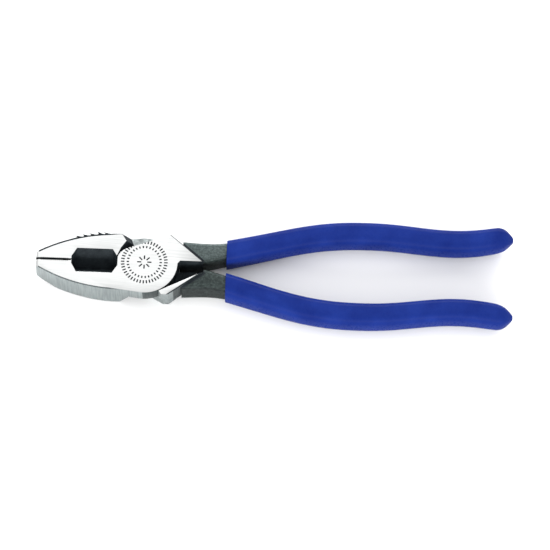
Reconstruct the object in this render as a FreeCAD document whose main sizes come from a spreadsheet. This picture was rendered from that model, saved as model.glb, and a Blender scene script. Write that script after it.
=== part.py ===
import FreeCAD, Part
import math
import os

import Sketcher

# Lineman pliers. Two forged steel halves are lapped over each other and held by one flush rivet.
# Each half is a jaw, a half-thickness lap and a handle tang in a single forging, and each tang is
# dipped in a vinyl grip.
#
# Frame: origin on the rivet's axis, in the plane of the back face. +X runs towards the handles,
# +Y towards the upper handle and +Z out of the front face. The pliers lie closed on their back.
# The front half owns the lower jaw, the front lap and the upper handle. The rear half is the same
# forging turned half a turn about its length, and is built in that turned frame.

DIMENSIONS = [
    # the head
    ("thick", 15.9, "thickness of the head"),
    ("lap_play", 0.04, "each lap stops this far short of the middle plane"),
    ("nose_reach", 54.1, "rivet to the end of the nose"),
    ("nose_half", 3.8, "half width of the blunt nose"),
    ("nose_fall", 3.6, "how far the back face falls away at the nose"),
    ("fall_reach", 43.0, "rivet to where the back face starts to fall away"),
    ("crown_reach", 12.0, "rivet to the widest point of the jaw"),
    ("crown_half", 15.2, "half width of the head at that point"),
    ("jaw_radius", 81.0, "radius of the jaw's outer edge"),
    ("jaw_round", 0.5, "rounding of the jaw's outer edges"),
    ("nose_round", 1.4, "rounding of the nose's edges"),
    # the gripping flats
    ("bite_half", 0.5, "half gap between the closed gripping flats"),
    ("tooth_depth", 0.36, "depth of one tooth groove"),
    ("tooth_width", 0.84, "width of one tooth groove"),
    ("tooth_pitch", 0.98, "spacing of the tooth grooves"),
    ("tooth_start", 51.6, "rivet to the first tooth groove"),
    ("score_depth", 0.3, "depth of one lengthwise score"),
    ("score_width", 0.8, "width of one lengthwise score"),
    ("score_pitch", 1.9, "spacing of the lengthwise scores"),
    ("score_low", 3.0, "height of the lowest score"),
    # the side cutter
    ("knife_half", 0.04, "half gap between the closed cutting edges"),
    ("knife_height", 4.6, "height of the cutting edges above the back face"),
    ("knife_land", 0.5, "flat left on each cutting edge"),
    ("hollow_tip", 36.4, "rivet to the hollow's blunt end towards the nose"),
    ("hollow_blunt", 1.9, "half width of that blunt end"),
    ("hollow_nose", 33.8, "rivet to the hollow's corner at the nose end"),
    ("hollow_joint", 16.0, "rivet to the hollow's corner at the joint end"),
    ("hollow_half", 6.45, "half width of the deep hollow at the front face"),
    ("hollow_tail", 2.3, "half width of the hollow where it meets the lap"),
    ("relief_half", 2.7, "half width of the shallow hollow at the back face"),
    ("edge_nose", 35.4, "rivet to the nose end of the cutting edge"),
    ("edge_joint", 14.6, "rivet to the joint end of the cutting edge"),
    # the lap
    ("boss_radius", 16.6, "radius of the lap about the rivet"),
    ("boss_front", 13.4, "rivet to the lap's straight front edge"),
    ("boss_front_half", 2.6, "where that straight edge ends"),
    ("cheek_x", 8.5, "lap's front corner"),
    ("cheek_y", 7.4, "lap's front corner"),
    ("cheek_radius", 8.6, "radius of the lap's front corner"),
    ("brow_x", 3.0, "bend in the lap's upper edge"),
    ("brow_y", 11.7, "bend in the lap's upper edge"),
    ("wing_peak_x", 11.6, "outer corner of the lap's wing"),
    ("wing_peak_y", 16.6, "outer corner of the lap's wing, before its side is drafted"),
    ("wing_tip_x", 29.4, "where the wing ends in a point"),
    ("wing_under", 1.5, "height of the wing's straight under edge"),
    ("wing_root_x", 17.9, "inner end of that edge"),
    ("belly_x", 2.0, "where the lap's arc meets the jaw's straight flank"),
    ("belly_y", 16.48, "where the lap's arc meets the jaw's straight flank"),
    # the seat for the other half's lap
    ("seat_front", 13.95, "rivet to the shoulder's inner corner"),
    ("seat_front_half", 2.7, "height of the shoulder's inner corner"),
    ("seat_mid_x", 11.9, "middle of the shoulder at the face"),
    ("seat_mid_y", 7.6, "middle of the shoulder at the face"),
    ("seat_nose_x", 9.4, "shoulder's outer corner at the face"),
    ("seat_nose_y", 11.3, "shoulder's outer corner at the face"),
    ("foot_mid_x", 11.3, "middle of the shoulder at its foot"),
    ("foot_mid_y", 8.0, "middle of the shoulder at its foot"),
    ("foot_nose_x", 5.9, "shoulder's corner at its foot"),
    ("foot_nose_y", 12.5, "shoulder's corner at its foot"),
    ("foot_out_x", 7.2, "shoulder's outer corner at its foot"),
    ("foot_out_y", 15.8144, "shoulder's outer corner at its foot"),
    ("seat_radius", 17.7, "radius that clears the other lap"),
    ("heel_in_x", 7.7, "heel block's inner corner"),
    ("heel_in_y", 15.21, "heel block's inner corner beside the channel"),
    ("heel_left_x", 9.0, "heel block's outer left corner"),
    ("heel_right_x", 12.2, "heel block's outer right corner"),
    ("heel_out_y", 17.2, "heel block's outer edge"),
    ("heel_tip_y", 4.0, "heel block's edge where it ends over the tang"),
    ("draft_face", 15.6, "outer edge of the wing at its face, after drafting"),
    # the rivet
    ("rivet_radius", 4.8, "rivet shank"),
    ("rivet_head", 6.4, "rivet head at the face"),
    ("rivet_sink", 2.6, "depth of the rivet head's cone"),
    ("rivet_play", 0.05, "clearance in the half that turns on the rivet"),
    # the plain marks struck in the front lap and in the rivet's head
    ("mark_depth", 0.2, "depth of the struck marks"),
    ("mark_width", 0.7, "width of a struck mark"),
    ("outer_far", 11.7, "outer end of the outer ring of marks"),
    ("outer_near", 9.9, "inner end of the outer ring of marks"),
    ("inner_far", 8.8, "outer end of the inner ring of marks"),
    ("inner_near", 7.6, "inner end of the inner ring of marks"),
    ("head_far", 3.6, "outer end of the marks in the rivet's head"),
    ("head_near", 1.5, "inner end of the marks in the rivet's head"),
]

# Stations along the handle. Each row is the distance from the rivet, then the centre line's height,
# half width, half thickness and corner radius of the section there, and how far both handles lean
# towards the upper side.
TANG_STATIONS = [
    (19.0, 7.15, 5.65, 6.65, 1.6, 0.0),
    (30.0, 7.1, 5.3, 6.65, 2.0, 0.0),
    (41.0, 8.9, 4.4, 6.6, 2.4, 0.0),
    (60.0, 14.1, 4.9, 6.0, 2.8, -0.4),
    (84.0, 20.0, 4.95, 5.8, 3.4, -0.4),
    (108.0, 22.05, 4.95, 5.75, 3.5, -0.1),
    (132.0, 20.65, 4.9, 5.75, 3.5, 0.3),
    (154.0, 18.65, 4.9, 5.75, 3.5, 0.8),
    (172.0, 20.1, 4.7, 5.5, 3.4, 1.2),
]
GRIP_STATIONS = [
    (40.8, 8.85, 6.45, 7.85, 4.3, 0.0),
    (46.0, 10.2, 6.45, 7.75, 4.5, -0.1),
    (60.0, 14.1, 6.35, 7.4, 4.9, -0.4),
    (84.0, 20.0, 6.25, 7.1, 5.2, -0.4),
    (108.0, 22.05, 6.2, 7.0, 5.3, -0.1),
    (132.0, 20.65, 6.15, 7.0, 5.3, 0.3),
    (154.0, 18.65, 6.1, 7.0, 5.3, 0.8),
    (168.0, 19.5, 6.05, 6.95, 5.3, 1.1),
    (176.0, 20.8, 5.95, 6.8, 5.2, 1.4),
]
GRIP_END = [
    (176.0, 20.8, 5.95, 6.8, 5.2, 1.4),
    (178.6, 21.15, 5.45, 6.1, 4.8, 1.4),
    (180.8, 21.25, 4.4, 4.9, 3.9, 1.4),
    (182.5, 21.25, 3.0, 3.3, 2.6, 1.4),
    (183.6, 21.2, 1.9, 2.1, 1.6, 1.4),
    (184.4, 21.2, 0.9, 1.0, 0.7, 1.4),
]
STATION_FIELDS = ("at", "rise", "half", "deep", "round", "lean")
STATION_TABLES = (("tang", TANG_STATIONS), ("grip", GRIP_STATIONS), ("tail", GRIP_END))

TOOTH_COUNT = 14
SCORE_COUNT = 6
OUTER_MARKS = 44
INNER_MARKS = 30
HEAD_MARKS = 8
TINY = 1e-9


class Size:
    """A length that carries both its value and the spreadsheet expression that gives it."""

    def __init__(self, value, text):
        self.value = value
        self.text = text

    def _with(self, sign, other, value):
        text = other.text if isinstance(other, Size) else repr(other)
        return Size(value, f"({self.text} {sign} {text})")

    def __neg__(self):
        return Size(-self.value, f"(-{self.text})")

    def __add__(self, other):
        return self._with("+", other, self.value + number(other))

    def __sub__(self, other):
        return self._with("-", other, self.value - number(other))

    def __mul__(self, other):
        return self._with("*", other, self.value * number(other))

    def __truediv__(self, other):
        return self._with("/", other, self.value / number(other))


def number(size):
    return size.value if isinstance(size, Size) else float(size)


def make_sheet(doc):
    """Puts every driving dimension in one spreadsheet and returns them as Sizes by alias."""
    sheet = doc.addObject("Spreadsheet::Sheet", "dims")
    rows = [(alias, value, note) for alias, value, note in DIMENSIONS]
    for table, stations in STATION_TABLES:
        for count, station in enumerate(stations):
            for field, value in zip(STATION_FIELDS, station):
                rows.append((f"{table}_{field}_{count}", value, f"{table} section {count}: {field}"))
    sizes = {}
    for row, (alias, value, note) in enumerate(rows, start=1):
        sheet.set(f"A{row}", note)
        sheet.set(f"B{row}", str(value))
        sheet.setAlias(f"B{row}", alias)
        sizes[alias] = Size(float(value), f"dims.{alias}")
    doc.recompute()
    return sizes


# ---- sketch helpers


def plane(body, role):
    return [f for f in body.Origin.OriginFeatures if f.Role == role][0]


def new_sketch(body, name, role, offset=None):
    """A sketch on one of the body's own origin planes, lifted along its normal by offset."""
    sketch = body.newObject("Sketcher::SketchObject", name)
    sketch.AttachmentSupport = (plane(body, role), "")
    sketch.MapMode = "FlatFace"
    if offset is not None:
        sketch.AttachmentOffset = FreeCAD.Placement(
            FreeCAD.Vector(0, 0, number(offset)), FreeCAD.Rotation()
        )
        sketch.setExpression("AttachmentOffset.Base.z", offset.text)
    return sketch


def pin_point(sketch, geometry, end, x, y):
    """Ties one end of a line or arc to the sheet's x and y."""
    for kind, size, axis in (("DistanceX", x, -2), ("DistanceY", y, -1)):
        if abs(number(size)) < TINY:
            sketch.addConstraint(Sketcher.Constraint("PointOnObject", geometry, end, axis))
            continue
        index = sketch.addConstraint(Sketcher.Constraint(kind, geometry, end, number(size)))
        if isinstance(size, Size):
            sketch.setExpression(f"Constraints[{index}]", size.text)


def arc_between(start, finish, radius):
    """The minor arc from start to finish. A positive radius has its centre on the left of the way."""
    along = finish.sub(start)
    left = FreeCAD.Vector(-along.y, along.x, 0).normalize()
    rise = math.sqrt(radius**2 - (along.Length / 2) ** 2)
    centre = start.add(along.multiply(0.5)).add(left.multiply(math.copysign(rise, radius)))
    first, last = (start, finish) if radius > 0 else (finish, start)
    angles = [math.atan2(p.y - centre.y, p.x - centre.x) for p in (first, last)]
    circle = Part.Circle(centre, FreeCAD.Vector(0, 0, 1), abs(radius))
    return Part.ArcOfCircle(circle, angles[0], angles[1])


def draw_outline(sketch, corners):
    """Closes an outline through the corners. A corner is (x, y), or (x, y, radius) where the edge
    that leaves it is an arc: positive bends it left, negative right."""
    points = [FreeCAD.Vector(number(c[0]), number(c[1]), 0) for c in corners]
    edges = []
    for i, corner in enumerate(corners):
        start, finish = points[i], points[(i + 1) % len(points)]
        if len(corner) == 3:
            arc = arc_between(FreeCAD.Vector(start), FreeCAD.Vector(finish), number(corner[2]))
            ends = (1, 2) if number(corner[2]) > 0 else (2, 1)
            edges.append((sketch.addGeometry(arc, False), *ends))
        else:
            line = Part.LineSegment(start, finish)
            edges.append((sketch.addGeometry(line, False), 1, 2))
    for i, (geometry, first, last) in enumerate(edges):
        following, its_first, _ = edges[(i + 1) % len(edges)]
        sketch.addConstraint(
            Sketcher.Constraint("Coincident", geometry, last, following, its_first)
        )
        pin_point(sketch, geometry, first, corners[i][0], corners[i][1])
        if len(corners[i]) == 3:
            radius = corners[i][2]
            bend = radius if number(radius) > 0 else -radius
            index = sketch.addConstraint(Sketcher.Constraint("Radius", geometry, number(bend)))
            sketch.setExpression(f"Constraints[{index}]", bend.text)
    return sketch


def draw_circle(sketch, radius):
    circle = Part.Circle(FreeCAD.Vector(0, 0, 0), FreeCAD.Vector(0, 0, 1), number(radius))
    geometry = sketch.addGeometry(circle, False)
    sketch.addConstraint(Sketcher.Constraint("Coincident", geometry, 3, -1, 1))
    index = sketch.addConstraint(Sketcher.Constraint("Radius", geometry, number(radius)))
    sketch.setExpression(f"Constraints[{index}]", radius.text)
    return sketch


def section_corners(centre, rise, half, deep, bend):
    """A rounded rectangle about (centre, rise): half wide and deep, with corners of radius bend."""
    left, right = centre - half, centre + half
    low, high = rise - deep, rise + deep
    return [
        (left + bend, low),
        (right - bend, low, bend),
        (right, low + bend),
        (right, high - bend, bend),
        (right - bend, high),
        (left + bend, high, bend),
        (left, high - bend),
        (left, low + bend, bend),
    ]


# ---- feature helpers: each checks that it changed the solid the way it should


def grown(body, feature, cuts=False, before=0.0):
    body.Document.recompute()
    volume = feature.Shape.Volume
    changed = before - volume if cuts else volume - before
    if changed <= TINY:
        raise RuntimeError(f"{body.Label}: {feature.Name} changed nothing")
    return feature


def volume_of(body):
    return body.Tip.Shape.Volume if body.Tip else 0.0


def pad(body, name, sketch, length):
    before = volume_of(body)
    feature = body.newObject("PartDesign::Pad", name)
    feature.Profile = sketch
    feature.Length = number(length)
    feature.setExpression("Length", length.text)
    return grown(body, feature, before=before)


def pocket(body, name, sketch, length=None, reverse=True, both_ways=False):
    """Cuts the sketch's outline, to a length along the normal or, with none, through everything."""
    before = volume_of(body)
    feature = body.newObject("PartDesign::Pocket", name)
    feature.Profile = sketch
    feature.Reversed = reverse
    if length is None:
        feature.Type = "ThroughAll"
        if both_ways:
            feature.Midplane = True
    else:
        feature.Length = number(length)
        feature.setExpression("Length", length.text)
    return grown(body, feature, cuts=True, before=before)


def loft(body, name, sketches, cuts=False, ruled=False):
    before = volume_of(body)
    kind = "PartDesign::SubtractiveLoft" if cuts else "PartDesign::AdditiveLoft"
    feature = body.newObject(kind, name)
    feature.Profile = sketches[0]
    feature.Sections = sketches[1:]
    feature.Ruled = ruled
    return grown(body, feature, cuts=cuts, before=before)


def repeat_along(body, name, features, axis, count, pitch):
    """Repeats cuts in a straight line along one of the body's origin axes."""
    before = volume_of(body)
    pattern = body.newObject("PartDesign::LinearPattern", name)
    pattern.Originals = features
    pattern.Direction = (plane(body, axis), [""])
    pattern.Length = number(pitch) * (count - 1)
    pattern.setExpression("Length", (pitch * (count - 1)).text)
    pattern.Occurrences = count
    body.Tip = pattern
    return grown(body, pattern, cuts=True, before=before)


def repeat_round(body, name, features, count, angle):
    """Repeats cuts round the rivet's axis, through angle degrees."""
    before = volume_of(body)
    pattern = body.newObject("PartDesign::PolarPattern", name)
    pattern.Originals = features
    pattern.Axis = (plane(body, "Z_Axis"), [""])
    pattern.Angle = angle
    pattern.Occurrences = count
    body.Tip = pattern
    return grown(body, pattern, cuts=True, before=before)


def handle_sections(body, table, stations, d, turned):
    """One sketch for each station of a handle table, on planes square to X. The turned half leans
    the other way in its own frame."""
    sketches = []
    middle = d["thick"] / 2
    for count in range(len(stations)):
        fields = (d[f"{table}_{field}_{count}"] for field in STATION_FIELDS)
        at, rise, half, deep, bend, lean = fields
        centre = rise - lean if turned else rise + lean
        sketch = new_sketch(body, f"{table}_section_{count}", "YZ_Plane", at)
        draw_outline(sketch, section_corners(centre, middle, half, deep, bend))
        sketches.append(sketch)
    return sketches


# ---- the forging


def lap_outline(d):
    """The face side of a half: its jaw, the round lap and the wing that runs out over the tang."""
    return [
        (-d["nose_reach"], -d["bite_half"]),
        (-d["nose_reach"], -d["nose_half"], d["jaw_radius"]),
        (-d["crown_reach"], -d["crown_half"]),
        (-d["belly_x"], -d["belly_y"], d["boss_radius"]),
        (d["boss_radius"], d["boss_radius"] * 0),
        (d["wing_root_x"], d["wing_under"]),
        (d["wing_tip_x"], d["wing_under"]),
        (d["wing_peak_x"], d["wing_peak_y"]),
        (d["brow_x"], d["brow_y"]),
        (-d["cheek_x"], d["cheek_y"], d["cheek_radius"]),
        (-d["boss_front"], d["boss_front_half"]),
        (-d["boss_front"], -d["knife_half"]),
        (-d["hollow_tip"], -d["knife_half"]),
        (-d["hollow_tip"] - d["bite_half"], -d["bite_half"]),
    ]


def jaw_outline(d):
    """The seat side of the jaw, as far as the shoulder's foot on the lap's floor."""
    return [
        (-d["nose_reach"], -d["bite_half"]),
        (-d["nose_reach"], -d["nose_half"], d["jaw_radius"]),
        (-d["crown_reach"], -d["crown_half"]),
        (-d["foot_out_x"], -d["foot_out_y"]),
        (-d["foot_nose_x"], -d["foot_nose_y"]),
        (-d["foot_mid_x"], -d["foot_mid_y"]),
        (-d["seat_front"], -d["seat_front_half"]),
        (-d["seat_front"], -d["knife_half"]),
        (-d["hollow_tip"], -d["knife_half"]),
        (-d["hollow_tip"] - d["bite_half"], -d["bite_half"]),
    ]


def slope_shoulder(body, d, floor):
    """Slopes the shoulder out from its line at the face to its foot on the lap's floor."""
    clear = d["foot_out_x"] * 0
    at_face = new_sketch(body, "shoulder_at_face", "XY_Plane")
    draw_outline(
        at_face,
        [
            (-d["seat_front"], -d["seat_front_half"]),
            (-d["seat_mid_x"], -d["seat_mid_y"]),
            (-d["seat_nose_x"], -d["seat_nose_y"]),
            (-d["crown_reach"], -d["crown_half"]),
            (-d["crown_reach"], -d["heel_out_y"]),
            (clear, -d["heel_out_y"]),
            (clear, -d["seat_front_half"]),
        ],
    )
    at_foot = new_sketch(body, "shoulder_at_foot", "XY_Plane", floor)
    draw_outline(
        at_foot,
        [
            (-d["seat_front"], -d["seat_front_half"]),
            (-d["foot_mid_x"], -d["foot_mid_y"]),
            (-d["foot_nose_x"], -d["foot_nose_y"]),
            (-d["foot_out_x"], -d["foot_out_y"]),
            (-d["foot_out_x"], -d["heel_out_y"]),
            (clear, -d["heel_out_y"]),
            (clear, -d["seat_front_half"]),
        ],
    )
    loft(body, "shoulder", [at_face, at_foot], cuts=True, ruled=True)


def on_clearing_radius(d, name):
    """The other coordinate of the point on the clearing radius whose one coordinate is name."""
    reach, given = d["seat_radius"], d[name]
    value = math.sqrt(reach.value**2 - given.value**2)
    return Size(value, f"sqrt({reach.text} * {reach.text} - {given.text} * {given.text})")


def heel_outline(d, with_channel):
    """The seat side of the heel. With a channel its inner wall runs straight to the tang, and
    leaves a wide mouth between the handles for pulling tape."""
    outer = [
        (d["wing_tip_x"], d["heel_tip_y"]),
        (d["heel_right_x"], d["heel_out_y"]),
        (d["heel_left_x"], d["heel_out_y"]),
    ]
    if with_channel:
        return outer + [(d["heel_in_x"], d["heel_in_y"])]
    return outer + [
        (d["heel_in_x"], on_clearing_radius(d, "heel_in_x"), -d["seat_radius"]),
        (on_clearing_radius(d, "wing_under"), d["wing_under"]),
        (d["wing_tip_x"], d["wing_under"]),
    ]


def cut_channel(body, d, middle):
    """Clears the tang out of the channel's mouth."""
    sketch = new_sketch(body, "channel_mouth", "XY_Plane")
    draw_outline(
        sketch,
        [
            (d["wing_root_x"], -d["wing_under"]),
            (d["wing_tip_x"] + 0.2, -d["wing_under"]),
            (d["wing_tip_x"] + 0.2, d["heel_tip_y"] - 0.1),
            (d["heel_in_x"], d["heel_in_y"]),
        ],
    )
    pocket(body, "channel", sketch, middle)


def draft_wing(body, d):
    """Planes the wing's outer side so that it leans in from the seat side to the face."""
    sketch = new_sketch(body, "wing_draft", "YZ_Plane", d["brow_x"])
    draw_outline(
        sketch,
        [
            (d["draft_face"], d["thick"]),
            (d["heel_out_y"], d["knife_half"]),
            (d["heel_out_y"] + 4, d["knife_half"]),
            (d["heel_out_y"] + 4, d["thick"]),
        ],
    )
    pocket(body, "wing_side", sketch)


def taper_nose(body, d, turned):
    """Lets the pliers' back face fall away towards the nose. It is the turned half's upper face."""
    face, sign = (d["thick"], -1) if turned else (d["thick"] * 0, 1)
    beyond = d["nose_reach"] + 1
    fall = d["nose_fall"] * sign
    sketch = new_sketch(body, "nose_fall_shape", "XZ_Plane")
    draw_outline(sketch, [(-d["fall_reach"], face), (-beyond, face + fall), (-beyond, face)])
    pocket(body, "nose_back", sketch, reverse=False, both_ways=True)


def round_edges(body, d, name, radius, wanted):
    """Rounds the edges for which wanted(edge, its middle) is true."""
    before = volume_of(body)
    base = body.Tip
    chosen = []
    for count, edge in enumerate(base.Shape.Edges, start=1):
        middle = edge.valueAt((edge.FirstParameter + edge.LastParameter) / 2)
        if wanted(edge, middle):
            chosen.append(f"Edge{count}")
    feature = body.newObject("PartDesign::Fillet", name)
    feature.Base = (base, chosen)
    feature.Radius = radius.value
    feature.setExpression("Radius", radius.text)
    return grown(body, feature, cuts=True, before=before)


def round_jaw(body, d):
    """Rounds the nose and the jaw's long outer edges, and leaves the bite sharp."""
    nose = -d["nose_reach"].value
    crown = -d["crown_reach"].value
    bite = -2 * d["bite_half"].value

    def on_nose(edge, middle):
        return abs(middle.x - nose) < TINY and middle.y < bite

    def on_flank(edge, middle):
        curved = isinstance(edge.Curve, (Part.Circle, Part.Ellipse, Part.BSplineCurve))
        return curved and edge.Length > 10 and middle.x < crown and middle.y < 2 * bite

    round_edges(body, d, "nose_rounding", d["nose_round"], on_nose)
    round_edges(body, d, "jaw_rounding", d["jaw_round"], on_flank)


def cut_hollow(body, name, d, face, edge, half):
    """A sloped hollow from a face down to the cutting edge, which is its own half of the octagon."""
    above = d["bite_half"] * 2
    at_face = new_sketch(body, f"{name}_at_face", "XY_Plane", face)
    draw_outline(
        at_face,
        [
            (-d["hollow_tip"], above),
            (-d["hollow_tip"], -d["hollow_blunt"]),
            (-d["hollow_nose"], -half),
            (-d["hollow_joint"], -half),
            (-d["boss_front"], -d["hollow_tail"]),
            (-d["boss_front"], above),
        ],
    )
    at_edge = new_sketch(body, f"{name}_at_edge", "XY_Plane", edge)
    draw_outline(
        at_edge,
        [
            (-d["edge_nose"], above),
            (-d["edge_nose"], -d["knife_half"]),
            (-d["edge_nose"] + 0.3, -d["knife_half"] * 2),
            (-d["edge_joint"] - 0.3, -d["knife_half"] * 2),
            (-d["edge_joint"], -d["knife_half"]),
            (-d["edge_joint"], above),
        ],
    )
    loft(body, name, [at_face, at_edge], cuts=True, ruled=True)


def cut_cutter(body, d, deep_at_seat):
    """The side cutter's edge, with its deep hollow towards the pliers' front face. The rear half
    is built turned over, so its deep hollow opens on its seat side."""
    zero = d["thick"] * 0
    low, high = (zero, d["thick"])
    if deep_at_seat:
        edge = d["thick"] - d["knife_height"]
        cut_hollow(body, "deep_hollow", d, low, edge - d["knife_land"] / 2, d["hollow_half"])
        cut_hollow(body, "relief_hollow", d, high, edge + d["knife_land"] / 2, d["relief_half"])
    else:
        edge = d["knife_height"]
        cut_hollow(body, "deep_hollow", d, high, edge + d["knife_land"] / 2, d["hollow_half"])
        cut_hollow(body, "relief_hollow", d, low, edge - d["knife_land"] / 2, d["relief_half"])


def cut_teeth(body, d):
    """Cross grooves on the gripping flat, scored lengthwise into separate teeth."""
    groove = new_sketch(body, "tooth_groove", "XY_Plane")
    start = -d["tooth_start"]
    draw_outline(
        groove,
        [
            (start, -d["bite_half"]),
            (start, -d["knife_half"]),
            (start + d["tooth_width"], -d["knife_half"]),
            (start + d["tooth_width"], -d["bite_half"]),
            (start + d["tooth_width"] / 2, -d["bite_half"] - d["tooth_depth"]),
        ],
    )
    tooth = pocket(body, "tooth", groove)
    repeat_along(body, "teeth", [tooth], "X_Axis", TOOTH_COUNT, d["tooth_pitch"])
    score = new_sketch(body, "score_groove", "YZ_Plane", -d["hollow_tip"] - 0.7)
    low = d["score_low"]
    draw_outline(
        score,
        [
            (-d["bite_half"], low),
            (-d["bite_half"] - d["score_depth"], low + d["score_width"] / 2),
            (-d["bite_half"], low + d["score_width"]),
            (-d["knife_half"], low + d["score_width"]),
            (-d["knife_half"], low),
        ],
    )
    line = pocket(body, "score", score, reverse=False)
    repeat_along(body, "scores", [line], "Z_Axis", SCORE_COUNT, d["score_pitch"])


def bore_rivet_hole(body, d, play):
    """A through hole with a conical seat at the face for the rivet's head."""
    hole = draw_circle(new_sketch(body, "rivet_hole", "XY_Plane"), d["rivet_radius"] + play)
    pocket(body, "rivet_bore", hole)
    before = volume_of(body)
    seat = new_sketch(body, "rivet_seat", "XZ_Plane")
    draw_outline(
        seat,
        [
            (d["rivet_radius"] * 0, d["thick"]),
            (d["rivet_head"] + play, d["thick"]),
            (d["rivet_radius"] + play, d["thick"] - d["rivet_sink"]),
            (d["rivet_radius"] * 0, d["thick"] - d["rivet_sink"]),
        ],
    )
    feature = body.newObject("PartDesign::Groove", "rivet_countersink")
    feature.Profile = seat
    feature.ReferenceAxis = (plane(body, "Z_Axis"), [""])
    feature.Angle = 360.0
    grown(body, feature, cuts=True, before=before)


def strike_ring(body, d, name, count):
    """A ring of short plain marks, struck in the face round the rivet's axis."""
    half = d["mark_width"] / 2
    near, far = d[f"{name}_near"], d[f"{name}_far"]
    sketch = new_sketch(body, f"{name}_mark_shape", "XY_Plane", d["thick"])
    draw_outline(sketch, [(near, -half), (far, -half), (far, half), (near, half)])
    mark = pocket(body, f"{name}_mark", sketch, d["mark_depth"], reverse=False)
    repeat_round(body, f"{name}_marks", [mark], count, 360.0)


def make_half(doc, d, label, turned):
    """One forging. The turned one is the rear half: it carries the tape channel, turns on the rivet
    and is placed face down."""
    body = doc.addObject("PartDesign::Body", label)
    body.Label = label
    middle = d["thick"] / 2
    lap_floor = middle + d["lap_play"]
    lap_depth = middle - d["lap_play"]
    sketch = draw_outline(new_sketch(body, "lap_shape", "XY_Plane", lap_floor), lap_outline(d))
    pad(body, "lap", sketch, lap_depth)
    pad(body, "jaw", draw_outline(new_sketch(body, "jaw_shape", "XY_Plane"), jaw_outline(d)), lap_floor)
    slope_shoulder(body, d, lap_floor)
    heel = draw_outline(new_sketch(body, "heel_shape", "XY_Plane"), heel_outline(d, turned))
    pad(body, "heel", heel, lap_floor)
    draft_wing(body, d)
    loft(body, "tang", handle_sections(body, "tang", TANG_STATIONS, d, turned))
    if turned:
        cut_channel(body, d, middle)
    taper_nose(body, d, turned)
    round_jaw(body, d)
    cut_cutter(body, d, deep_at_seat=turned)
    cut_teeth(body, d)
    bore_rivet_hole(body, d, d["rivet_play"] if turned else d["rivet_play"] * 0)
    if turned:
        turn_over(body, d)
    else:
        strike_ring(body, d, "outer", OUTER_MARKS)
        strike_ring(body, d, "inner", INNER_MARKS)
    return body


def turn_over(body, d):
    """Turns a body half round about the pliers' length, in the middle of the head's thickness."""
    body.Placement = FreeCAD.Placement(
        FreeCAD.Vector(0, 0, d["thick"].value), FreeCAD.Rotation(FreeCAD.Vector(1, 0, 0), 180)
    )
    body.setExpression("Placement.Base.z", d["thick"].text)


# ---- the rivet and the grips


def make_rivet(doc, d, label):
    """One rivet, headed at both ends into the countersinks and ground flush."""
    body = doc.addObject("PartDesign::Body", label)
    body.Label = label
    zero = d["thick"] * 0
    shape = new_sketch(body, "rivet_shape", "XZ_Plane")
    draw_outline(
        shape,
        [
            (zero, zero),
            (d["rivet_head"], zero),
            (d["rivet_radius"], d["rivet_sink"]),
            (d["rivet_radius"], d["thick"] - d["rivet_sink"]),
            (d["rivet_head"], d["thick"]),
            (zero, d["thick"]),
        ],
    )
    feature = body.newObject("PartDesign::Revolution", "rivet")
    feature.Profile = shape
    feature.ReferenceAxis = (plane(body, "Z_Axis"), [""])
    feature.Angle = 360.0
    grown(body, feature)
    strike_ring(body, d, "head", HEAD_MARKS)
    return body


def make_grip(doc, d, label, turned):
    """A dipped sleeve: its skin follows the grip stations, its inside is the tang itself, and it
    ends in the blunt cone that the dip leaves."""
    body = doc.addObject("PartDesign::Body", label)
    body.Label = label
    loft(body, "skin", handle_sections(body, "grip", GRIP_STATIONS, d, turned))
    loft(body, "tail", handle_sections(body, "tail", GRIP_END, d, turned))
    loft(body, "core", handle_sections(body, "tang", TANG_STATIONS, d, turned), cuts=True)
    if turned:
        turn_over(body, d)
    return body


def check(doc, bodies):
    doc.recompute()
    for thing in doc.Objects:
        if "Invalid" in thing.State or "Error" in thing.State:
            raise RuntimeError(f"{thing.Name} is {thing.State}")
    for body in bodies:
        shape = body.Shape
        if shape.isNull() or not shape.isValid() or len(shape.Solids) != 1:
            raise RuntimeError(f"{body.Label} is not one valid solid")
        print(f"{body.Label}: {shape.Volume:.0f} mm3, {len(shape.Faces)} faces")


def main():
    doc = FreeCAD.newDocument("lineman_pliers")
    d = make_sheet(doc)
    bodies = [
        make_half(doc, d, "front_half", turned=False),
        make_half(doc, d, "rear_half", turned=True),
        make_rivet(doc, d, "hinge_rivet"),
        make_grip(doc, d, "upper_grip", turned=False),
        make_grip(doc, d, "lower_grip", turned=True),
    ]
    check(doc, bodies)
    os.makedirs("parts", exist_ok=True)
    for body in bodies:
        body.Shape.exportStep(os.path.join("parts", f"{body.Label}.step"))


main()
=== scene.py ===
from math import cos, degrees, hypot, radians, sin

import bpy
import bmesh
from mathutils import Matrix, Vector


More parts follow.
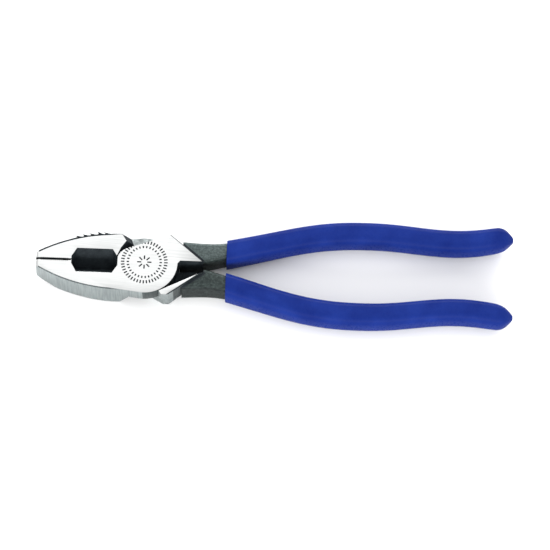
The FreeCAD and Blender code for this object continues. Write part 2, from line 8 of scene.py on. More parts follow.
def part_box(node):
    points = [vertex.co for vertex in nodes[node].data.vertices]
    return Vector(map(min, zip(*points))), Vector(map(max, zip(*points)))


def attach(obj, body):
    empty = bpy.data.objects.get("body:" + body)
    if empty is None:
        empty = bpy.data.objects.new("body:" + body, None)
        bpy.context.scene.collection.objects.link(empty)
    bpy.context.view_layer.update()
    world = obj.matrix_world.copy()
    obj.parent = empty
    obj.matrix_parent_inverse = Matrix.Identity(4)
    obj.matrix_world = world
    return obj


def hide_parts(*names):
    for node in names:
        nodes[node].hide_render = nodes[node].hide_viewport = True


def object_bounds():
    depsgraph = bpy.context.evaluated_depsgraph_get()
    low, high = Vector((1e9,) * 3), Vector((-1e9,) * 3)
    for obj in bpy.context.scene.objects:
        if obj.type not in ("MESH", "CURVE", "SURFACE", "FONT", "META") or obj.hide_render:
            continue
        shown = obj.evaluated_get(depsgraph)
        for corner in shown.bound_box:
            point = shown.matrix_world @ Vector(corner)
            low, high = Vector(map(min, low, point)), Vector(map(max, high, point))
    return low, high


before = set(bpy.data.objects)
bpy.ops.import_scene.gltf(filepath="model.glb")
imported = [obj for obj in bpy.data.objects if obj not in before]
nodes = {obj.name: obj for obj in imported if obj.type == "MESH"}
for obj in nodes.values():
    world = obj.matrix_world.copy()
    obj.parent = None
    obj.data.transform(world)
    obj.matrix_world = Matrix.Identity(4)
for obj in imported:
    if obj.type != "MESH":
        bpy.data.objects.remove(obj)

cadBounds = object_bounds()
mm = 0.001
merging = {"gap": 0.002 * mm, "bend": radians(0.3)}


def selectOnly(obj):
    bpy.ops.object.select_all(action="DESELECT")
    obj.select_set(True)
    bpy.context.view_layer.objects.active = obj


def useModifier(obj, kind, **settings):
    selectOnly(obj)
    modifier = obj.modifiers.new(kind.lower(), kind)
    for key, value in settings.items():
        setattr(modifier, key, value)
    bpy.ops.object.modifier_apply(modifier=modifier.name)


def copyOfNode(nodeName, pieceName):
    # a merged copy of a CAD node, with flat stretches joined into single faces
    piece = nodes[nodeName].copy()
    piece.data = nodes[nodeName].data.copy()
    bpy.context.scene.collection.objects.link(piece)
    for key in list(piece.keys()):
        del piece[key]
    piece.name = pieceName
    piece.parent = None
    piece.matrix_world = Matrix.Identity(4)
    selectOnly(piece)
    bpy.ops.mesh.customdata_custom_splitnormals_clear()
    bpy.ops.object.mode_set(mode="EDIT")
    bpy.ops.mesh.select_all(action="SELECT")
    bpy.ops.mesh.remove_doubles(threshold=merging["gap"])
    bpy.ops.mesh.dissolve_limited(angle_limit=merging["bend"])
    bpy.ops.object.mode_set(mode="OBJECT")
    piece.data.materials.clear()
    return piece


def newGroup(name, inputs, outputs):
    group = bpy.data.node_groups.new(name, "ShaderNodeTree")
    for socket, kind, value in inputs:
        made = group.interface.new_socket(socket, in_out="INPUT", socket_type=kind)
        made.default_value = value
    for socket, kind in outputs:
        group.interface.new_socket(socket, in_out="OUTPUT", socket_type=kind)
    start = group.nodes.new("NodeGroupInput")
    end = group.nodes.new("NodeGroupOutput")
    return group, start, end


def addNode(tree, kind, **settings):
    node = tree.nodes.new(kind)
    for key, value in settings.items():
        setattr(node, key, value)
    return node


def mathNode(tree, operation, first, second=None):
    node = addNode(tree, "ShaderNodeMath", operation=operation)
    for index, value in enumerate((first, second)):
        if isinstance(value, bpy.types.NodeSocket):
            tree.links.new(value, node.inputs[index])
        elif value is not None:
            node.inputs[index].default_value = value
    return node.outputs[0]


def mapRange(tree, value, low, high, toLow=0.0, toHigh=1.0):
    node = addNode(tree, "ShaderNodeMapRange")
    tree.links.new(value, node.inputs["Value"])
    for name, number in zip(("From Min", "From Max", "To Min", "To Max"), (low, high, toLow, toHigh)):
        node.inputs[name].default_value = number
    return node.outputs["Result"]


def mixColour(tree, factor, first, second):
    node = addNode(tree, "ShaderNodeMix", data_type="RGBA")
    sockets = (node.inputs["Factor"], node.inputs[6], node.inputs[7])
    for socket, value in zip(sockets, (factor, first, second)):
        if isinstance(value, bpy.types.NodeSocket):
            tree.links.new(value, socket)
        else:
            socket.default_value = value
    return node.outputs[2]


grainShape = {"fineDetail": 4.0, "coarseScale": 0.35, "coarseDetail": 1.0, "deepRange": (0.66, 0.72)}


def grainGroup():
    # long fine scratches: a noise stretched along one direction, with a few deeper lines
    group, start, end = newGroup(
        "grindGrain",
        [("Stretch", "NodeSocketVector", (60, 1800, 1800)), ("Turn", "NodeSocketVector", (0, 0, 0))],
        [("Streaks", "NodeSocketFloat"), ("Scratches", "NodeSocketFloat")],
    )
    coords = addNode(group, "ShaderNodeTexCoord")
    turn = addNode(group, "ShaderNodeVectorRotate", rotation_type="EULER_XYZ")
    stretch = addNode(group, "ShaderNodeVectorMath", operation="MULTIPLY")
    group.links.new(coords.outputs["Object"], turn.inputs["Vector"])
    group.links.new(start.outputs["Turn"], turn.inputs["Rotation"])
    group.links.new(turn.outputs[0], stretch.inputs[0])
    group.links.new(start.outputs["Stretch"], stretch.inputs[1])
    fine = addNode(group, "ShaderNodeTexNoise")
    fine.inputs["Scale"].default_value = 1.0
    fine.inputs["Detail"].default_value = grainShape["fineDetail"]
    group.links.new(stretch.outputs[0], fine.inputs["Vector"])
    coarse = addNode(group, "ShaderNodeTexNoise")
    coarse.inputs["Scale"].default_value = grainShape["coarseScale"]
    coarse.inputs["Detail"].default_value = grainShape["coarseDetail"]
    group.links.new(stretch.outputs[0], coarse.inputs["Vector"])
    deep = mapRange(group, coarse.outputs["Fac"], *grainShape["deepRange"])
    group.links.new(fine.outputs["Fac"], end.inputs["Streaks"])
    group.links.new(deep, end.inputs["Scratches"])
    return group


def mottleGroup():
    # cloudy patches with a fine speckle over them
    group, start, end = newGroup(
        "mottle",
        [("Patch Scale", "NodeSocketFloat", 120.0), ("Speckle Scale", "NodeSocketFloat", 1500.0)],
        [("Patches", "NodeSocketFloat"), ("Speckle", "NodeSocketFloat")],
    )
    coords = addNode(group, "ShaderNodeTexCoord")
    for name, detail, rough in (("Patch", 3.0, 0.55), ("Speckle", 2.0, 0.7)):
        noise = addNode(group, "ShaderNodeTexNoise")
        noise.inputs["Detail"].default_value = detail
        noise.inputs["Roughness"].default_value = rough
        group.links.new(coords.outputs["Object"], noise.inputs["Vector"])
        group.links.new(start.outputs[f"{name} Scale"], noise.inputs["Scale"])
        target = "Patches" if name == "Patch" else "Speckle"
        group.links.new(noise.outputs["Fac"], end.inputs[target])
    return group


grain = grainGroup()
mottle = mottleGroup()


def placeGroup(tree, group, **values):
    node = addNode(tree, "ShaderNodeGroup", node_tree=group)
    for key, value in values.items():
        node.inputs[key.replace("_", " ")].default_value = value
    return node


def newMaterial(name, metallic, **constants):
    material = bpy.data.materials.new(name)
    material.use_nodes = True
    tree = material.node_tree
    shader = tree.nodes["Principled BSDF"]
    shader.inputs["Metallic"].default_value = metallic
    for key, value in constants.items():
        shader.inputs[key.replace("_", " ")].default_value = value
    return material, tree, shader


def addBump(tree, shader, height, strength, distance):
    bump = addNode(tree, "ShaderNodeBump")
    bump.inputs["Strength"].default_value = strength
    bump.inputs["Distance"].default_value = distance
    tree.links.new(height, bump.inputs["Height"])
    tree.links.new(bump.outputs["Normal"], shader.inputs["Normal"])


groundLook = {
    "bright": (0.585, 0.59, 0.588, 1), "dull": (0.51, 0.52, 0.518, 1), "scratch": (0.34, 0.35, 0.35, 1),
    "roughness": (0.28, 0.42), "stretch": (45, 2600, 2600), "turn": (0, 0, radians(4)), "metallic": 1.0,
}
# the sides carry a cross grain, and are given a darker colour than the ground faces as painted shade
sideLook = {
    "bright": (0.37, 0.41, 0.413, 1), "dull": (0.262, 0.292, 0.294, 1), "scratch": (0.2, 0.22, 0.22, 1),
    "roughness": (0.42, 0.58), "stretch": (1500, 1500, 90), "turn": (0, 0, 0), "metallic": 1.0,
}
shadeLook = {
    "bright": (0.108, 0.126, 0.128, 1), "dull": (0.054, 0.065, 0.066, 1), "scratch": (0.24, 0.26, 0.26, 1),
    "roughness": (0.45, 0.6), "stretch": (1500, 1500, 90), "turn": (0, 0, 0), "metallic": 0.9,
}
forgedLook = {
    "bright": (0.096, 0.120, 0.119, 1), "dull": (0.040, 0.053, 0.052, 1), "roughness": (0.42, 0.62),
    "patchScale": 900.0, "speckleScale": 1900.0, "metallic": 0.7, "bump": 0.5, "gloss": 0.3,
}
# a darker copy of the forged finish: forging scale, which on the tangs' sides facing -Y also stands for
# painted shade
scaleAndShadeLook = {
    "bright": (0.052, 0.069, 0.066, 1), "dull": (0.013, 0.018, 0.0175, 1), "roughness": (0.45, 0.65),
    "patchScale": 800.0, "speckleScale": 1900.0, "metallic": 0.6, "bump": 0.5, "gloss": 0.25,
}
# painted shade: a still darker copy of the forged finish for the turned half's tang side facing -Y
tangSideShadeLook = {
    "bright": (0.030, 0.040, 0.039, 1), "dull": (0.009, 0.012, 0.012, 1), "roughness": (0.45, 0.65),
    "patchScale": 700.0, "speckleScale": 1900.0, "metallic": 0.5, "bump": 0.5, "gloss": 0.2,
}
# painted light: a lighter copy of the forged finish for the tangs' lower outer corners, as if lit by the
# floor
floorLitLook = {
    "bright": (0.24, 0.27, 0.27, 1), "dull": (0.07, 0.083, 0.082, 1), "roughness": (0.38, 0.55),
    "patchScale": 430.0, "speckleScale": 1900.0, "metallic": 0.85, "bump": 0.4, "gloss": 0.3,
}
# painted shade: near black, dull steel for recesses, gaps, hollows, struck marks, the shoulder and dark
# edge rims; in the slots it also stands for black oxide
recessShadeLook = {
    "bright": (0.022, 0.028, 0.032, 1), "dull": (0.010, 0.013, 0.016, 1), "roughness": (0.5, 0.7),
    "patchScale": 260.0, "speckleScale": 2200.0, "metallic": 0.0, "bump": 0.4, "gloss": 0.07,
}
lapLook = {
    "bright": (0.36, 0.39, 0.39, 1), "dull": (0.13, 0.145, 0.145, 1), "roughness": (0.38, 0.55),
    "patchScale": 420.0, "speckleScale": 1800.0, "metallic": 1.0, "bump": 0.35, "gloss": 0.5,
}


steelTexture = {
    "streakRange": (0.35, 0.65), "cloudRange": (0.35, 0.7), "cloudShare": 0.35, "scratchShare": 0.3,
    "roughRange": (0.3, 0.7), "streakBump": 0.25, "streakHeight": 0.02 * mm, "cloudScale": 90.0,
    "grainScale": 900.0, "anisotropy": 0.35, "patchRange": (0.32, 0.68), "speckleRange": (0.42, 0.62),
    "speckleShare": 0.55, "speckleHeight": 0.08 * mm,
}


def streakedSteel(name, look):
    texture = steelTexture
    material, tree, shader = newMaterial(name, look["metallic"], Anisotropic=texture["anisotropy"])
    lines = placeGroup(tree, grain, Stretch=look["stretch"], Turn=look["turn"])
    clouds = placeGroup(
        tree, mottle, Patch_Scale=texture["cloudScale"], Speckle_Scale=texture["grainScale"]
    )
    blendIn = mapRange(tree, lines.outputs["Streaks"], *texture["streakRange"])
    colour = mixColour(tree, blendIn, look["dull"], look["bright"])
    cloudShare = texture["cloudShare"]
    patchy = mapRange(tree, clouds.outputs["Patches"], *texture["cloudRange"], toHigh=cloudShare)
    colour = mixColour(tree, patchy, colour, look["dull"])
    lineMask = mathNode(tree, "MULTIPLY", lines.outputs["Scratches"], texture["scratchShare"])
    colour = mixColour(tree, lineMask, colour, look["scratch"])
    tree.links.new(colour, shader.inputs["Base Color"])
    rough = mapRange(tree, clouds.outputs["Patches"], *texture["roughRange"], *look["roughness"])
    tree.links.new(rough, shader.inputs["Roughness"])
    addBump(tree, shader, lines.outputs["Streaks"], texture["streakBump"], texture["streakHeight"])
    return material


def mottledSteel(name, look):
    texture = steelTexture
    material, tree, shader = newMaterial(name, look["metallic"], Specular_IOR_Level=look["gloss"])
    clouds = placeGroup(
        tree, mottle, Patch_Scale=look["patchScale"], Speckle_Scale=look["speckleScale"]
    )
    patches = mapRange(tree, clouds.outputs["Patches"], *texture["patchRange"])
    colour = mixColour(tree, patches, look["dull"], look["bright"])
    speckleShare = texture["speckleShare"]
    speckle = mapRange(tree, clouds.outputs["Speckle"], *texture["speckleRange"], toHigh=speckleShare)
    colour = mixColour(tree, speckle, colour, look["dull"])
    tree.links.new(colour, shader.inputs["Base Color"])
    rough = mapRange(tree, clouds.outputs["Speckle"], *texture["roughRange"], *look["roughness"])
    tree.links.new(rough, shader.inputs["Roughness"])
    addBump(tree, shader, clouds.outputs["Speckle"], look["bump"], texture["speckleHeight"])
    return material


finishes = {
    "ground": streakedSteel("groundSteel", groundLook),
    "side": streakedSteel("sideSteel", sideLook),
    "shade": streakedSteel("darkSideSteel", shadeLook),
    "forged": mottledSteel("forgedSteel", forgedLook),
    "scale": mottledSteel("forgingScaleAndShade", scaleAndShadeLook),
    "tangSideShade": mottledSteel("shadedTangSide", tangSideShadeLook),
    "floorLit": mottledSteel("floorLitForging", floorLitLook),
    "recessShade": mottledSteel("recessShadeAndOxide", recessShadeLook),
    "lap": mottledSteel("lapSteel", lapLook),
}
finishOrder = list(finishes)
print("steel finishes made")


head = {
    "thick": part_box("hinge_rivet")[1].z, "bossReach": 17.0 * mm, "markReach": 12.0 * mm,
    "markDepth": 0.3 * mm, "markClear": 0.4 * mm, "skin": 0.05 * mm, "level": 0.01 * mm,
    "noseStart": 52.6 * mm, "hollowStart": 36.6 * mm, "hollowEnd": 13.2 * mm, "hollowHalf": 6.6 * mm,
    "shoulderStart": 14.5 * mm, "jawEnd": 11 * mm, "bite": 1.0 * mm, "biteShadeHalf": 0.62 * mm,
    "slotHalf": 2.0 * mm, "shadeEnd": 3.5 * mm, "pocketStart": 4.5 * mm, "heelEnd": 15.0 * mm,
    "wingEnd": 30.0 * mm, "tangStart": 32 * mm, "shadeStripWidth": 1.2 * mm,
}
facing = {
    "flat": 0.9995, "nearlyFlat": 0.97, "falling": 0.9, "straight": 0.05, "sloping": 0.5,
    "noseFlat": 0.35, "rounded": 0.2, "shoulder": 0.15, "inward": -0.3, "wall": 0.2, "slotWall": -0.45,
    "cornerOut": 0.3, "cornerTurn": 0.2, "tangTop": 0.6, "tangUnder": -0.35,
}
edges = {
    "rimWidth": 0.5 * mm, "bevelWidth": 0.11 * mm, "sharpAngle": 28, "bevelAngle": 32,
    "shortest": 0.5 * mm, "rimStart": 14 * mm, "toothEnd": 35.1 * mm, "toothHalf": 1.2 * mm,
    "faceGap": 0.02 * mm, "rimClear": 1.2, "biteClear": 2 * mm, "hollowClear": 0.4 * mm,
    "hollowPast": 1 * mm,
}


def edgeLine(piece, level, side):
    # a point on the long slanting edge where a wing or heel ends over the tang, and the way out of it
    onFace = [v.co for v in piece.data.vertices if abs(v.co.z - level) < head["level"]]
    tip = max(onFace, key=lambda co: co.x + 0.01 * side * co.y)
    corner = max(onFace, key=lambda co: side * co.y + 0.01 * co.x)
    along = Vector((tip.x - corner.x, tip.y - corner.y, 0)).normalized()
    return tip.copy(), Vector((-along.y, along.x, 0)) * side


def pastEdge(point, lines):
    # how far a point is past the edge that belongs to its own side of the head, wing or heel
    tip, across = lines[0] if point.z < head["thick"] / 2 else lines[1]
    return (point - tip).dot(across)


def cutAcross(piece, point, normal, fromX=-1.0, toX=1.0):
    # divides the faces between two places along X by a plane
    for face in piece.data.polygons:
        face.select = fromX < face.center.x < toX
    bpy.ops.object.mode_set(mode="EDIT")
    bpy.ops.mesh.bisect(plane_co=point, plane_no=normal)
    bpy.ops.mesh.select_all(action="DESELECT")
    bpy.ops.object.mode_set(mode="OBJECT")


def finishFor(centre, normal, turned, pastLine):
    # the finish that a face gets from where it is and which way it looks, in the unturned forging
    x, y, z = centre
    nx, ny, nz = normal
    if turned:
        y, z, ny, nz = -y, head["thick"] - z, -ny, -nz
    level = abs(nz) > facing["flat"]
    reach = hypot(x, y)
    inward = x * nx + y * ny < facing["inward"] * reach
    atFace = z > head["thick"] - head["skin"]
    # painted shade: a dark strip along the gripping edges and over the teeth, where the closed jaws meet
    if x < -head["hollowStart"] and abs(y) < (head["biteShadeHalf"] if level else head["bite"]):
        return "recessShade"
    if level and (atFace or z < head["skin"]):
        return "ground"
    if x < -head["hollowStart"] and abs(nz) > facing["falling"] and abs(ny) < facing["straight"]:
        return "ground"  # the back face where it falls away to the nose
    # painted shade: the hollow between the jaws is painted near black
    if -head["hollowStart"] < x < -head["hollowEnd"] and abs(y) < head["hollowHalf"]:
        return "recessShade"
    # painted shade: the floor at mid thickness past pocketStart is painted near black; the rest of it is
    # the lapped face
    if level and abs(z - head["thick"] / 2) < head["markDepth"]:
        return "recessShade" if x > head["pocketStart"] else "lap"
    if reach < head["markReach"] and z > head["thick"] - head["markDepth"]:
        return "recessShade"  # the struck marks, painted dark as shade in their pockets
    if x < 0:
        return jawSideFinish(x, y, nx, nz, turned)
    if x > head["wingEnd"] or (x > head["heelEnd"] and pastLine > head["skin"]):
        # painted shade: a dark strip on the tang along the foot of the slanting edge
        if x < head["wingEnd"] and pastLine < head["shadeStripWidth"] and abs(nz) > facing["sloping"]:
            return "recessShade"
        outward = nz if turned else -nz
        if ny > facing["cornerOut"] and facing["cornerTurn"] < outward < facing["nearlyFlat"]:
            return "floorLit"  # painted light: the tang's lower outer corner, made lighter as if lit by the floor
        # on the turned half the tang's side facing -Y is painted darker still as shade, and the rest of
        # that tang gets the scale finish
        if turned:
            return "tangSideShade" if ny > facing["tangTop"] else "scale"
        # on this half the tang's side facing -Y gets the scale finish, darker as painted shade
        return "scale" if ny < facing["tangUnder"] else "forged"
    # painted shade: the heel's walls, near black unless they face +Y, darker steel there
    if x > head["heelEnd"]:
        return "recessShade" if ny < facing["wall"] else "shade"
    # painted shade: the boss's side wall facing -Y as darker steel, the channel wall beside it near black
    if y < -head["slotHalf"] and z > head["thick"] / 2 and reach < head["bossReach"]:
        return "shade" if ny < facing["slotWall"] else "recessShade"
    # painted shade: the pocket's walls past pocketStart are painted near black
    if x > head["pocketStart"] and (inward or ny < facing["wall"]):
        return "recessShade"
    return "shade" if y > 0 and x < head["shadeEnd"] else "side"


def jawSideFinish(x, y, nx, nz, turned):
    if x < -head["noseStart"]:
        return "ground" if abs(nz) > facing["noseFlat"] else "side"
    if x > -head["shoulderStart"] and y < 0 and nx > facing["shoulder"]:
        return "recessShade"  # the shoulder, painted near black as its shade
    if abs(nz) > facing["rounded"] and x < -head["jawEnd"]:
        return "recessShade" if turned else "shade"  # the jaw's rounded edges, painted dark as shade; the upper jaw's far edge near black as a painted dark reflection
    return "shade" if y > 0 else "side"


def bevelWhere(piece, wanted, width, segments, material=-1):
    # bevels the edges that wanted(edge, its middle) picks
    shape = bmesh.new()
    shape.from_mesh(piece.data)
    weight = shape.edges.layers.float.get("bevel_weight_edge")
    weight = weight or shape.edges.layers.float.new("bevel_weight_edge")
    for edge in shape.edges:
        middle = (edge.verts[0].co + edge.verts[1].co) / 2
        edge[weight] = float(len(edge.link_faces) == 2 and wanted(edge, middle))
    shape.to_mesh(piece.data)
    shape.free()
    useModifier(
        piece, "BEVEL", limit_method="WEIGHT", width=width, segments=segments,
        use_clamp_overlap=False, loop_slide=False, material=material,
    )


def softenEdges(piece, lines, turned):
    # the slanting edges and the upper jaw's long edge get a rim bevel painted near black (shade at the
    # slanting edges, a dark reflection on the jaw's edge), other long sharp edges a narrow bevel, and the
    # teeth and struck marks stay crisp
    def onRim(edge, middle):
        atFace = min(abs(middle.z), abs(middle.z - head["thick"])) < edges["faceGap"]
        ends = [abs(pastEdge(v.co, lines)) < head["skin"] for v in edge.verts]
        level = [abs(face.normal.z) > facing["flat"] for face in edge.link_faces]
        byHollow = middle.x > -head["hollowStart"] - edges["hollowPast"]
        inner = head["hollowHalf"] + edges["hollowClear"] if byHollow else edges["biteClear"]
        onJaw = turned and -head["noseStart"] < middle.x < -edges["rimStart"] and middle.y > inner
        return atFace and (all(ends) and middle.x > 0 or onJaw and level[0] != level[1])

    def isSharp(edge, middle):
        inTeeth = middle.x < -edges["toothEnd"] and abs(middle.y) < edges["toothHalf"]
        nearTop = middle.z > head["thick"] - head["markClear"]
        inMarks = hypot(middle.x, middle.y) < head["markReach"] and nearTop
        rimReach = edges["rimClear"] * edges["rimWidth"]
        nearRim = middle.x > 0 and abs(pastEdge(middle, lines)) < rimReach
        if inTeeth or inMarks or nearRim or middle.x > head["tangStart"]:
            return False
        folded = degrees(edge.calc_face_angle()) > edges["bevelAngle"]
        return folded and edge.calc_length() > edges["shortest"]

    bevelWhere(piece, onRim, edges["rimWidth"], 1, finishOrder.index("recessShade"))
    bevelWhere(piece, isSharp, edges["bevelWidth"], 2)


def keepInside(piece, low, high):
    # presses back to the forging's own box what the bevels push out of it: corners by 0.1 mm, and
    # spikes on the upper jaw's dark rim by 0.8 mm, which still stand out sideways after this
    for vertex in piece.data.vertices:
        vertex.co = [min(max(c, a), b) for c, a, b in zip(vertex.co, low, high)]


def giveFinishes(piece):
    for name in finishOrder:
        piece.data.materials.append(finishes[name])


def makeHalf(nodeName, pieceName, body, turned):
    piece = copyOfNode(nodeName, pieceName)
    lines = [edgeLine(piece, level, -1 if turned else 1) for level in (0, head["thick"])]
    # cuts off the strips beside the slanting edges that are painted as shade
    for tip, across in lines:
        cutAcross(piece, tip + across * head["shadeStripWidth"], across)
    for place in (head["pocketStart"], head["heelEnd"]):
        cutAcross(piece, Vector((place, 0, 0)), Vector((1, 0, 0)))
    biteSide = 1 if turned else -1
    # cuts off the strip of face beside the bite that is painted as shade
    cutAcross(
        piece, Vector((0, biteSide * head["biteShadeHalf"], 0)), Vector((0, 1, 0)), toX=-head["hollowStart"]
    )
    giveFinishes(piece)
    for face in piece.data.polygons:
        finish = finishFor(face.center, face.normal, turned, pastEdge(face.center, lines))
        face.material_index = finishOrder.index(finish)
    softenEdges(piece, lines, turned)
    keepInside(piece, *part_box(nodeName))
    selectOnly(piece)
    bpy.ops.object.shade_smooth_by_angle(angle=radians(edges["sharpAngle"]))
    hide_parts(nodeName)
    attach(piece, body)
    print(pieceName, len(piece.data.polygons), "faces")


makeHalf("front_half", "frontHalf", "front_side", False)
makeHalf("rear_half", "rearHalf", "rear_side", True)


def makeRivet():
    piece = copyOfNode("hinge_rivet", "hingeRivet")
    giveFinishes(piece)
    low, high = head["skin"], head["thick"] - head["skin"]
    for face in piece.data.polygons:
        onFace = abs(face.normal.z) > facing["nearlyFlat"] and not low < face.center.z < high
        # painted shade: the rivet's walls below its faces are painted near black
        face.material_index = finishOrder.index("ground" if onFace else "recessShade")
    bpy.ops.object.shade_smooth_by_angle(angle=radians(edges["sharpAngle"]))
    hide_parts("hinge_rivet")
    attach(piece, "front_side")


makeRivet()
print("rivet made")


vinylLook = {
    "deep": (0.006, 0.016, 0.128, 1), "light": (0.010, 0.026, 0.178, 1), "roughness": (0.24, 0.34),
    "rippleScale": 70.0, "peelScale": 900.0, "gloss": 0.022, "spread": (0.3, 0.7), "rippleShare": 6.0,
    "bump": 0.35, "height": 0.04 * mm,
}
gripShape = {
    "stations": 30, "cornerSegments": 4, "cornerShare": 0.80, "lipStep": 0.45 * mm, "lipInset": 0.5 * mm,
    "tailLength": 8.4 * mm, "tailStations": 11, "fullness": 1.004, "endGap": 0.02 * mm,
    "startGap": 0.05 * mm, "tailInset": 0.3 * mm, "smoothing": 2,
}


def vinylMaterial():
    material, tree, shader = newMaterial("blueVinyl", 0.0, Specular_IOR_Level=vinylLook["gloss"])
    clouds = placeGroup(
        tree, mottle, Patch_Scale=vinylLook["rippleScale"], Speckle_Scale=vinylLook["peelScale"]
    )
    patches = mapRange(tree, clouds.outputs["Patches"], *vinylLook["spread"])
    colour = mixColour(tree, patches, vinylLook["deep"], vinylLook["light"])
    tree.links.new(colour, shader.inputs["Base Color"])
    rough = mapRange(tree, clouds.outputs["Speckle"], *vinylLook["spread"], *vinylLook["roughness"])
    tree.links.new(rough, shader.inputs["Roughness"])
    ripple = mathNode(tree, "MULTIPLY", clouds.outputs["Patches"], vinylLook["rippleShare"])
    height = mathNode(tree, "ADD", ripple, clouds.outputs["Speckle"])
    addBump(tree, shader, height, vinylLook["bump"], vinylLook["height"])
    return material


def sectionOf(obj, x):
    # centre and half sizes of a node's own section at x
    points = []
    vertices = obj.data.vertices
    for edge in obj.data.edges:
        a, b = (vertices[i].co for i in edge.vertices)
        if (a.x - x) * (b.x - x) < 0:
            points.append(a.lerp(b, (x - a.x) / (b.x - a.x)))
    ys = [p.y for p in points]
    zs = [p.z for p in points]
    middle = Vector((x, (min(ys) + max(ys)) / 2, (min(zs) + max(zs)) / 2))
    fuller = gripShape["fullness"] / 2
    return middle, (max(ys) - min(ys)) * fuller, (max(zs) - min(zs)) * fuller


def gripStations(nodeName):
    low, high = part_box(nodeName)
    start = low.x + gripShape["startGap"]
    tailStart = high.x - gripShape["tailLength"]
    steps = gripShape["stations"]
    places = [start, start + gripShape["lipStep"]]
    places += [start + (tailStart - start) * i / steps for i in range(1, steps)]
    for i in range(gripShape["tailStations"]):
        share = sin(radians(90) * i / (gripShape["tailStations"] - 1))
        places.append(tailStart + (high.x - gripShape["endGap"] - tailStart) * share)
    return [sectionOf(nodes[nodeName], x) for x in places]


def makeGrip(nodeName, pieceName, body):
    stations = gripStations(nodeName)
    middle, halfWide, halfDeep = stations[0]
    bpy.ops.object.select_all(action="DESELECT")
    bpy.ops.mesh.primitive_plane_add(size=1, location=middle, rotation=(0, radians(90), 0))
    piece = bpy.context.object
    piece.name = pieceName
    bpy.ops.object.transform_apply(location=True, rotation=True, scale=True)
    bpy.ops.object.mode_set(mode="EDIT")
    bpy.ops.mesh.select_all(action="SELECT")
    bpy.ops.transform.resize(value=(1, 2 * halfWide, 2 * halfDeep), center_override=middle)
    corner = gripShape["cornerShare"] * halfWide
    bpy.ops.mesh.bevel(
        offset=corner, segments=gripShape["cornerSegments"], affect="VERTICES", clamp_overlap=False
    )
    for (centre, wide, deep), (oldCentre, oldWide, oldDeep) in zip(stations[1:], stations):
        bpy.ops.mesh.extrude_region_move(TRANSFORM_OT_translate={"value": centre - oldCentre})
        bpy.ops.transform.resize(value=(1, wide / oldWide, deep / oldDeep), center_override=centre)
    bpy.ops.mesh.inset(thickness=gripShape["tailInset"])
    bpy.ops.mesh.select_all(action="DESELECT")
    bpy.ops.object.mode_set(mode="OBJECT")
    for face in piece.data.polygons:
        face.select = abs(face.center.x - middle.x) < head["level"]
    bpy.ops.object.mode_set(mode="EDIT")
    bpy.ops.mesh.inset(thickness=gripShape["lipInset"])
    bpy.ops.mesh.inset(thickness=gripShape["lipInset"])
    bpy.ops.mesh.select_all(action="SELECT")
    bpy.ops.mesh.normals_make_consistent(inside=False)
    bpy.ops.object.mode_set(mode="OBJECT")
    useModifier(piece, "SUBSURF", levels=gripShape["smoothing"], render_levels=gripShape["smoothing"])
    bpy.ops.object.shade_smooth()
    piece.data.materials.append(vinyl)
    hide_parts(nodeName)
    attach(piece, body)


vinyl = vinylMaterial()
makeGrip("upper_grip", "upperGrip", "front_side")
makeGrip("lower_grip", "lowerGrip", "rear_side")
print("grips made")


view = {
    "tilt": radians(24), "roll": radians(2.1), "distance": 2.0, "frameWidth": 0.2739,
    "aimShift": (0.2 * mm, -4.4 * mm), "sensor": 36.0,
}
studio = {
    "floorSize": 8.0, "floorColour": (0.92, 0.92, 0.92, 1), "floorRoughness": 0.9, "floorDrop": 0.1 * mm,
    "world": 0.95, "keyPower": 3.6, "keySize": (1.4, 0.9), "keyDistance": 1.1, "stripPowers": (9.0, 9.0),
    "stripHeights": (0.24, 0.34), "stripReach": 0.75, "stripSize": (1.3, 0.2),
}


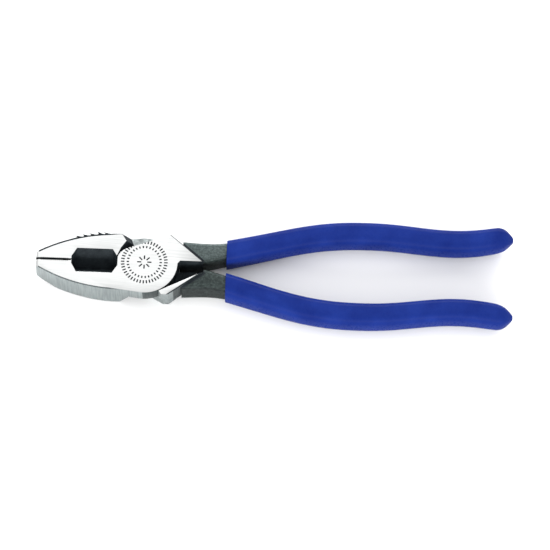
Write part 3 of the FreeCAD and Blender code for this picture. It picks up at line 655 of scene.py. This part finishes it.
def placeCamera():
    low, high = cadBounds
    aim = Vector(((low[0] + high[0]) / 2, (low[1] + high[1]) / 2, high[2]))
    aim += Vector((*view["aimShift"], 0))
    back = Vector((0, -sin(view["tilt"]), cos(view["tilt"])))
    flatUp = Vector((0, cos(view["tilt"]), sin(view["tilt"])))
    side = Vector((1, 0, 0))
    right = side * cos(view["roll"]) + flatUp * sin(view["roll"])
    up = flatUp * cos(view["roll"]) - side * sin(view["roll"])
    camera = bpy.data.cameras.new("mainView")
    camera.sensor_width = view["sensor"]
    camera.lens = view["sensor"] * view["distance"] / view["frameWidth"]
    holder = bpy.data.objects.new("mainView", camera)
    bpy.context.scene.collection.objects.link(holder)
    turn = Matrix((right, up, back)).transposed().to_4x4()
    holder.matrix_world = Matrix.Translation(aim + back * view["distance"]) @ turn
    bpy.context.scene.camera = holder
    return aim


def addLight(name, spot, aim, size, power):
    light = bpy.data.lights.new(name, "AREA")
    light.shape = "RECTANGLE"
    light.size, light.size_y = size
    light.energy = power
    holder = bpy.data.objects.new(name, light)
    bpy.context.scene.collection.objects.link(holder)
    holder.location = spot
    holder.rotation_euler = (aim - spot).to_track_quat("-Z", "Y").to_euler()


def makeStudio(aim):
    bpy.ops.object.select_all(action="DESELECT")
    place = (aim.x, aim.y, -studio["floorDrop"])
    bpy.ops.mesh.primitive_plane_add(size=studio["floorSize"], location=place)
    floor = bpy.context.object
    floor.name = "floor"
    looks = {"Base_Color": studio["floorColour"], "Roughness": studio["floorRoughness"]}
    floor.data.materials.append(newMaterial("paleFloor", 0.0, **looks)[0])
    world = bpy.data.worlds.new("studio")
    bpy.context.scene.world = world
    world.use_nodes = True
    world.node_tree.nodes["Background"].inputs["Color"].default_value = (1, 1, 1, 1)
    world.node_tree.nodes["Background"].inputs["Strength"].default_value = studio["world"]
    bpy.context.scene.view_settings.view_transform = "Standard"
    mirrored = Vector((0, sin(view["tilt"]), cos(view["tilt"])))
    keySpot = aim + mirrored * studio["keyDistance"]
    addLight("keyPanel", keySpot, aim, studio["keySize"], studio["keyPower"])
    strips = zip(("farStrip", "nearStrip"), (1, -1), studio["stripHeights"], studio["stripPowers"])
    for name, side, height, power in strips:
        spot = aim + Vector((0, studio["stripReach"] * side, height))
        addLight(name, spot, aim, studio["stripSize"], power)


makeStudio(placeCamera())
print("camera, floor and light placed")
